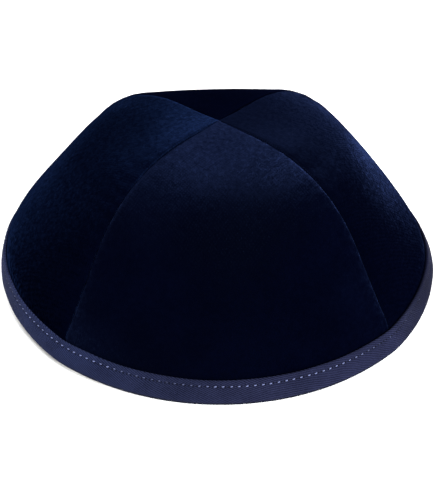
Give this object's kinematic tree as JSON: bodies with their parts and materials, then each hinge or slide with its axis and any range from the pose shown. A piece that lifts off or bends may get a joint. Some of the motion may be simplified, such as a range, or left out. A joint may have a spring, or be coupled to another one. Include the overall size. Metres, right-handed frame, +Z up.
{
  "type": "kippah skullcap",
  "caption": "Round velvet skullcap with a flat-topped crown of sewn panels and a stitched twill binding round its open rim, standing on its rim.",
  "frame": {"origin": "under the middle of the cap, on the surface that its rim stands on", "axes": "+Z up through the crossing of the seams, -Y out of the front panel, +X out of the panel on the right in the picture"},
  "size_m": [0.1724, 0.1749, 0.065],
  "materials": {
    "velvet": "deep navy velvet with a short mottled nap",
    "binding": "navy twill tape with one row of blue-grey stitches"
  },
  "bodies": {
    "root": {"panel_front": "velvet", "panel_right": "velvet", "panel_back": "velvet", "panel_left": "velvet", "rim_binding": "binding"}
  },
  "joints": []
}
